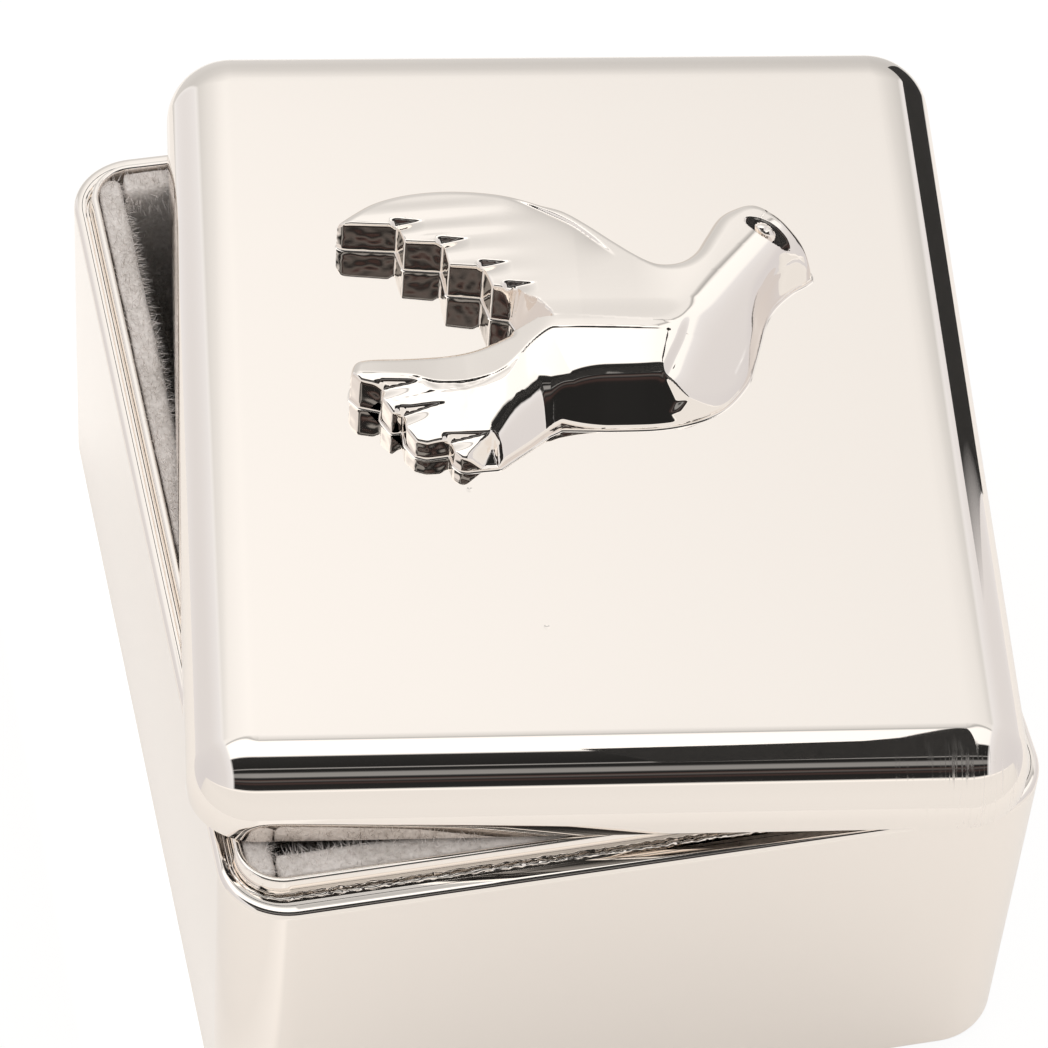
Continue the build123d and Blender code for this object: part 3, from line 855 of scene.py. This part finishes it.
def cloth_material(name, dark, light):
    """Short-napped cloth whose tone shifts where the nap lies differently."""
    material, nodes, links, shader = new_material(name)
    place = object_place(nodes)
    patches = noise_node(nodes, links, 260.0, 4.0, place)
    fine = noise_node(nodes, links, 3200.0, 2.0, place)
    total = calculate(nodes, links, "ADD", patches.outputs["Fac"], fine.outputs["Fac"])
    tone = map_range(nodes, links, total, 0.7, 1.3)
    links.new(mixed_color(nodes, links, tone, dark, light), shader.inputs["Base Color"])
    shader.inputs["Roughness"].default_value = 0.95
    shader.inputs["Sheen Weight"].default_value = 0.35
    shader.inputs["Sheen Roughness"].default_value = 0.5
    bumped(nodes, links, shader, fine.outputs["Fac"], 0.6, 0.15)
    return material


def board_material():
    """Grey-brown pressed card with its fibres showing."""
    material, nodes, links, shader = new_material("pressed_card")
    flecks = noise_node(nodes, links, 1400.0, 5.0, object_place(nodes))
    tone = map_range(nodes, links, flecks.outputs["Fac"], 0.35, 0.65)
    color = mixed_color(nodes, links, tone, *CARD_TONES)
    links.new(color, shader.inputs["Base Color"])
    shader.inputs["Roughness"].default_value = 0.9
    bumped(nodes, links, shader, flecks.outputs["Fac"], 0.4, 0.1)
    return material


def spring_steel():
    """Rolled steel, darker than the plate, with fine streaks along one direction."""
    material, nodes, links, shader = new_material("rolled_spring_steel")
    stretch = nodes.new("ShaderNodeMapping")
    stretch.inputs["Scale"].default_value = (1.0, 22.0, 1.0)
    links.new(object_place(nodes), stretch.inputs["Vector"])
    streaks = noise_node(nodes, links, 700.0, 3.0, stretch.outputs["Vector"])
    shader.inputs["Metallic"].default_value = 1.0
    shader.inputs["Base Color"].default_value = STEEL_COLOR
    roughness = map_range(nodes, links, streaks.outputs["Fac"], 0.3, 0.7, 0.25, 0.5)
    links.new(roughness, shader.inputs["Roughness"])
    bumped(nodes, links, shader, streaks.outputs["Fac"], 0.25, 0.02)
    return material


def set_material(obj, material):
    obj.data.materials.clear()
    obj.data.materials.append(material)


# ---- studio ----

def build_camera():
    """The camera stands to the front left, high up, with a long lens."""
    data = bpy.data.cameras.new("camera")
    camera = bpy.data.objects.new("camera", data)
    bpy.context.scene.collection.objects.link(camera)
    bpy.context.scene.camera = camera
    data.sensor_width = SENSOR_MM
    data.lens = LENS_MM
    data.clip_start = 0.01
    data.clip_end = 50
    back = Vector((math.cos(VIEW_ELEVATION) * math.sin(VIEW_AZIMUTH),
                   -math.cos(VIEW_ELEVATION) * math.cos(VIEW_AZIMUTH), math.sin(VIEW_ELEVATION)))
    level = Vector((math.cos(VIEW_AZIMUTH), math.sin(VIEW_AZIMUTH), 0))
    upright = back.cross(level)
    right = math.cos(VIEW_ROLL) * level + math.sin(VIEW_ROLL) * upright
    up = back.cross(right)
    place = Vector((0, 0, VIEW_TARGET_Z)) + VIEW_DISTANCE * back + VIEW_OFFSET_X * right + VIEW_OFFSET_Y * up
    turn = Matrix((right, up, back)).transposed().to_4x4()
    camera.matrix_world = Matrix.Translation(place * MM) @ turn


# The studio that the metal mirrors. An angle sweeps from straight ahead of the lid's front edge (0), up over
# the box (90) and down behind it (180), and is below the horizon where it is negative.
FRONT_HEADING = math.radians(-98.5)
TENT = [(-180, 0.70), (-60, 0.87), (0, 0.90), (28, 0.88), (29.8, 1.1), (32, 1.1), (33, 0.025), (42, 0.02),
        (54.5, 0.02), (56, 0.30), (62, 0.28), (64, 0.02), (69.5, 0.02), (70.5, 0.45), (71.5, 0.02),
        (92, 0.03), (93.5, 1.3), (122, 1.3), (123.3, 0.5), (124.6, 0.55), (126.3, 1.05), (133, 1.02),
        (137, 0.91), (145, 0.82), (155, 0.73), (170, 0.69)]
WARM_BAND = (-60, 32)
WARMTH = 0.04
ROOM_RIGHT, ROOM_LEFT = (0.61, 0.66), (-0.59, -0.64)
DARK_BROWN, DARK_GREY, BLACK = (0.07, 0.042, 0.038), (0.13, 0.118, 0.112), (0.02, 0.02, 0.02)
DARK_ROOM = [(44.5, DARK_BROWN), (46.5, BLACK), (49, DARK_GREY), (50.5, DARK_BROWN), (52, BLACK)]
BACK_WALL_FALL = [(-0.8, 0.93), (-0.3, 0.98), (0.0, 1.02), (0.2, 0.89), (0.65, 0.84)]
SIDE_WALL_FALL = [(0.0, (1.0, 1.0, 1.0)), (0.15, (0.88, 0.87, 0.88)), (0.45, (0.79, 0.77, 0.77)),
                  (1.0, (0.74, 0.72, 0.73))]
TABLE_SWEEP, TABLE_HALF_SWEEP = -29.0, 60.5


def build_world():
    """A white tent open at the front: dark room from low in front to overhead, seen only in the metal."""
    world = bpy.data.worlds.new("studio")
    bpy.context.scene.world = world
    world.use_nodes = True
    nodes, links = world.node_tree.nodes, world.node_tree.links
    nodes.clear()
    output = nodes.new("ShaderNodeOutputWorld")
    background = nodes.new("ShaderNodeBackground")
    links.new(background.outputs[0], output.inputs["Surface"])
    direction = nodes.new("ShaderNodeTexCoord").outputs["Generated"]

    def solve(operation, *values):
        return calculate(nodes, links, operation, *values)

    def dot(vector):
        node = nodes.new("ShaderNodeVectorMath")
        node.operation = "DOT_PRODUCT"
        links.new(direction, node.inputs[0])
        node.inputs[1].default_value = vector
        return node.outputs["Value"]

    def color_ramp(position, stops):
        node = nodes.new("ShaderNodeValToRGB")
        links.new(position, node.inputs["Fac"])
        set_stops(node, stops)
        return node.outputs["Color"]

    forward = dot((math.cos(FRONT_HEADING), math.sin(FRONT_HEADING), 0))
    sideways = dot((-math.sin(FRONT_HEADING), math.cos(FRONT_HEADING), 0))
    height = dot((0, 0, 1))
    sweep = solve("MULTIPLY", solve("ARCTAN2", height, forward), 180 / math.pi)
    stops = list(DARK_ROOM)
    for angle, value in TENT:
        warm = WARMTH if WARM_BAND[0] <= angle <= WARM_BAND[1] else 0
        stops.append((angle, (value, value * (0.985 - warm / 2), value * (0.965 - warm))))
    tent = color_ramp(map_range(nodes, links, sweep, -180.0, 180.0),
                      [((angle + 180) / 360, color) for angle, color in sorted(stops)])

    # the dark room is only so wide: past it the tent's side walls show, but not where the table is in the way
    right_mask = map_range(nodes, links, sideways, *ROOM_RIGHT)
    left_mask = map_range(nodes, links, sideways, *ROOM_LEFT)
    from_table = solve("ABSOLUTE", solve("ADD", sweep, -TABLE_SWEEP))
    above_table = map_range(nodes, links, from_table, TABLE_HALF_SWEEP, TABLE_HALF_SWEEP + 1)
    side_mask = solve("MULTIPLY", solve("ADD", right_mask, left_mask), above_table)
    # the white back wall is brightest in its middle
    fall = color_ramp(map_range(nodes, links, sideways, -1.0, 1.0),
                      [((place + 1) / 2, (value, value, value)) for place, value in BACK_WALL_FALL])
    faded = nodes.new("ShaderNodeVectorMath")
    faded.operation = "MULTIPLY"
    links.new(tent, faded.inputs[0])
    links.new(fall, faded.inputs[1])
    middle = mixed_color(nodes, links, above_table, tent, faded.outputs["Vector"])
    side_wall = color_ramp(map_range(nodes, links, solve("ABSOLUTE", sideways), 0.6, 1.0),
                           SIDE_WALL_FALL)
    mirrored = mixed_color(nodes, links, side_mask, middle, side_wall)

    # matt surfaces gather a plain soft light, and the camera sees white
    path = nodes.new("ShaderNodeLightPath")
    gathered = nodes.new("ShaderNodeCombineColor")
    level = map_range(nodes, links, forward, -0.3, 0.7, 1.25, 0.6)
    for socket in gathered.inputs[:3]:
        links.new(level, socket)
    seen = mixed_color(nodes, links, path.outputs["Is Glossy Ray"], gathered.outputs["Color"], mirrored)
    shown = mixed_color(nodes, links, path.outputs["Is Camera Ray"], seen, (1, 1, 1))
    links.new(shown, background.inputs["Color"])
    background.inputs["Strength"].default_value = 1.0


FLOOR_RADIUS = 105.0
FLOOR_Z = -0.02
PAPER_COLOR = (0.925, 0.875, 0.82, 1)
CARD_COLOR = (0.02, 0.02, 0.02, 1)
CARD_X = 88
RIGHT_CARD = [(CARD_X, 30, 0), (CARD_X, 115, 0), (CARD_X, 115, 54), (CARD_X, 12, 54)]
OVERHEAD_CARD_Z = 135
OVERHEAD_CARD = [(7, -20), (21, -18), (33, -14), (38, -5), (42, 7), (48, 24), (51, 30), (62, -70), (7, -70)]


def build_floor():
    """A round pale table top, white to the camera, shaded by the box in its reflections."""
    steps = 96
    turns = [2 * math.pi * i / steps for i in range(steps)]
    rim = [(FLOOR_RADIUS * math.cos(turn), FLOOR_RADIUS * math.sin(turn), FLOOR_Z) for turn in turns]
    floor = make_object("floor", rim, [tuple(range(steps))], smooth=False)
    material, nodes, links, shader = new_material("floor_paper")
    shader.inputs["Base Color"].default_value = PAPER_COLOR
    shader.inputs["Roughness"].default_value = 0.9
    glow = nodes.new("ShaderNodeEmission")
    axes = split_axes(nodes, links, object_place(nodes))
    # painted light: the paper's glow is raised in a band beside the box's left side, strongest close to the
    # box and fading out a few millimetres away
    painted_glow_left_mask = map_range(nodes, links, axes["X"], -27 * MM, -29 * MM)
    painted_glow_near_box = map_range(nodes, links, axes["X"], -37 * MM, -30 * MM, 0.0, 0.36)
    beside = calculate(nodes, links, "MULTIPLY", painted_glow_left_mask, painted_glow_near_box)
    links.new(calculate(nodes, links, "ADD", beside, 1.03), glow.inputs["Strength"])
    path = nodes.new("ShaderNodeLightPath")
    camera_part = map_range(nodes, links, path.outputs["Is Camera Ray"], 0.0, 1.0, 0.0, 0.9)
    glossy_part = map_range(nodes, links, path.outputs["Is Glossy Ray"], 0.0, 1.0, 0.0, 0.27)
    mix = nodes.new("ShaderNodeMixShader")
    links.new(calculate(nodes, links, "ADD", camera_part, glossy_part), mix.inputs[0])
    links.new(shader.outputs[0], mix.inputs[1])
    links.new(glow.outputs[0], mix.inputs[2])
    links.new(mix.outputs[0], material_output(nodes))
    set_material(floor, material)


def build_dark_cards():
    """Black cards seen only in the metal: a low one at the far right, and one over the front right corner."""
    black, nodes, links, shader = new_material("black_card")
    shader.inputs["Base Color"].default_value = CARD_COLOR
    shader.inputs["Roughness"].default_value = 0.9
    axes = split_axes(nodes, links, object_place(nodes))
    # the near end of the far card is thinned away
    near_end = map_range(nodes, links, axes["Y"], 28 * MM, 14 * MM)
    on_right_card = map_range(nodes, links, axes["X"], (CARD_X - 3) * MM, (CARD_X - 2) * MM)
    mix = nodes.new("ShaderNodeMixShader")
    links.new(calculate(nodes, links, "MULTIPLY", near_end, on_right_card), mix.inputs[0])
    links.new(shader.outputs[0], mix.inputs[1])
    links.new(nodes.new("ShaderNodeBsdfTransparent").outputs[0], mix.inputs[2])
    links.new(mix.outputs[0], material_output(nodes))
    overhead = [(x, y, OVERHEAD_CARD_Z) for x, y in OVERHEAD_CARD]
    for name, corners in (("dark_card_right", RIGHT_CARD), ("dark_card_overhead", overhead)):
        card = make_object(name, corners, [tuple(range(len(corners)))], smooth=False)
        set_material(card, black)
        card.visible_camera = False
        card.visible_diffuse = False
        card.visible_shadow = False


# ---- the pieces and their finishes ----

silver = silver_plate("silver_plate_mirror")
for piece in (build_base_shell(), build_rim_ring(), build_solder_seam(), build_dove()):
    set_material(piece, silver)
set_material(build_lid_shell(), silver_plate("silver_plate_streaked", streaked=True))
plush = cloth_material("plush_nap", *PLUSH_TONES)
card = board_material()
for node_name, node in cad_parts.items():
    if node_name.endswith("_wall_plush"):
        set_material(build_fabric(node_name, "base", WALL_PILE, faces_room), plush)
    elif node_name.endswith("_board"):
        set_material(node, card)
set_material(build_fabric("floor_plush", "base", FLAT_PILE, faces_room), plush)
set_material(build_fabric("lid_plush", "lid", FLAT_PILE, faces_down), plush)
felt = cloth_material("felt_black", *FELT_TONES)
set_material(build_fabric("underside_pad", "base", FELT_PILE, faces_out), felt)
set_material(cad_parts["stud_retainers"], spring_steel())
build_camera()
build_world()
build_floor()
build_dark_cards()

bpy.context.scene.view_settings.view_transform = "Standard"
